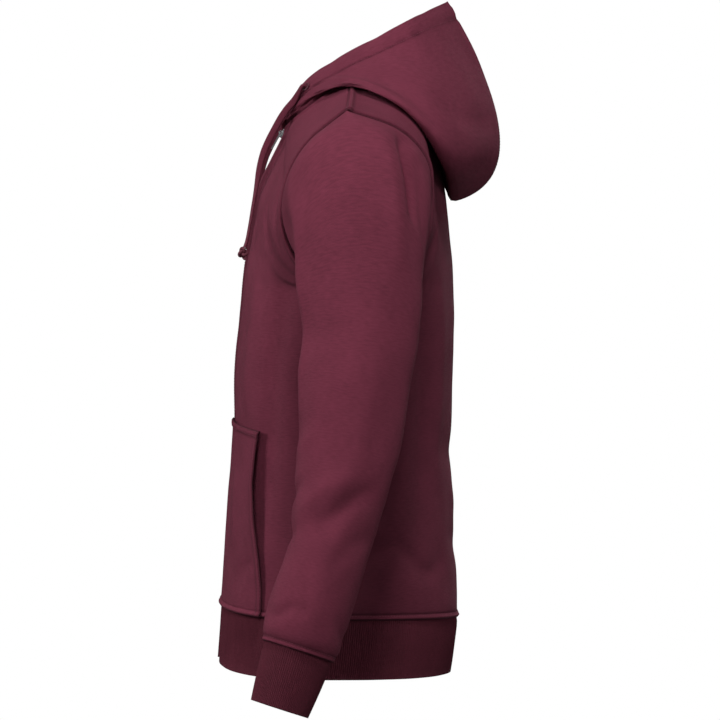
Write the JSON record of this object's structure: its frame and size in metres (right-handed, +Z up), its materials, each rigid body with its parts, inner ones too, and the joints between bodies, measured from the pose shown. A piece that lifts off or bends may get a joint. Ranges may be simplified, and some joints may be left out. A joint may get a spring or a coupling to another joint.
{
  "type": "zip up hoodie",
  "caption": "Long-sleeved sweatshirt with a full front zip, worn-down hood with drawcords, split kangaroo pocket, and deep ribbed cuffs and hem, kept in its worn shape.",
  "frame": {"origin": "centre of the neck opening, at the height of the shoulder seams' neck ends", "axes": "+Z up along the body, -Y out of the garment's front, +X towards the wearer's left sleeve"},
  "size_m": [0.734, 0.3311, 0.804],
  "materials": {
    "cloth": "brushed-back sweatshirt knit",
    "rib": "one by one rib knit",
    "cord": "flat woven cord",
    "tape": "woven zip tape",
    "enamel": "enamel in the cloth's colour",
    "metal": "plated zip metal"
  },
  "bodies": {
    "garment": {"back": "cloth", "cuff_left": "rib", "cuff_right": "rib", "drawcord_left": "cord", "drawcord_right": "cord", "eyelet_left": "enamel", "eyelet_right": "enamel", "front_left": "cloth", "front_right": "cloth", "hem_rib": "rib", "hood_left": "cloth", "hood_right": "cloth", "knot_left": "cord", "knot_right": "cord", "pocket_left": "cloth", "pocket_right": "cloth", "sleeve_left": "cloth", "sleeve_right": "cloth", "zip_slider": "metal", "zip_tape_left": "tape", "zip_tape_right": "tape"},
    "pull": {"zip_pull": "metal"}
  },
  "joints": [
    {"name": "pull_swing", "type": "hinge", "parent": "garment", "child": "pull", "pos_m": [0, -0.08224, -0.05705], "axis": [-1, 0, 0], "range_deg": [0, 150]}
  ]
}
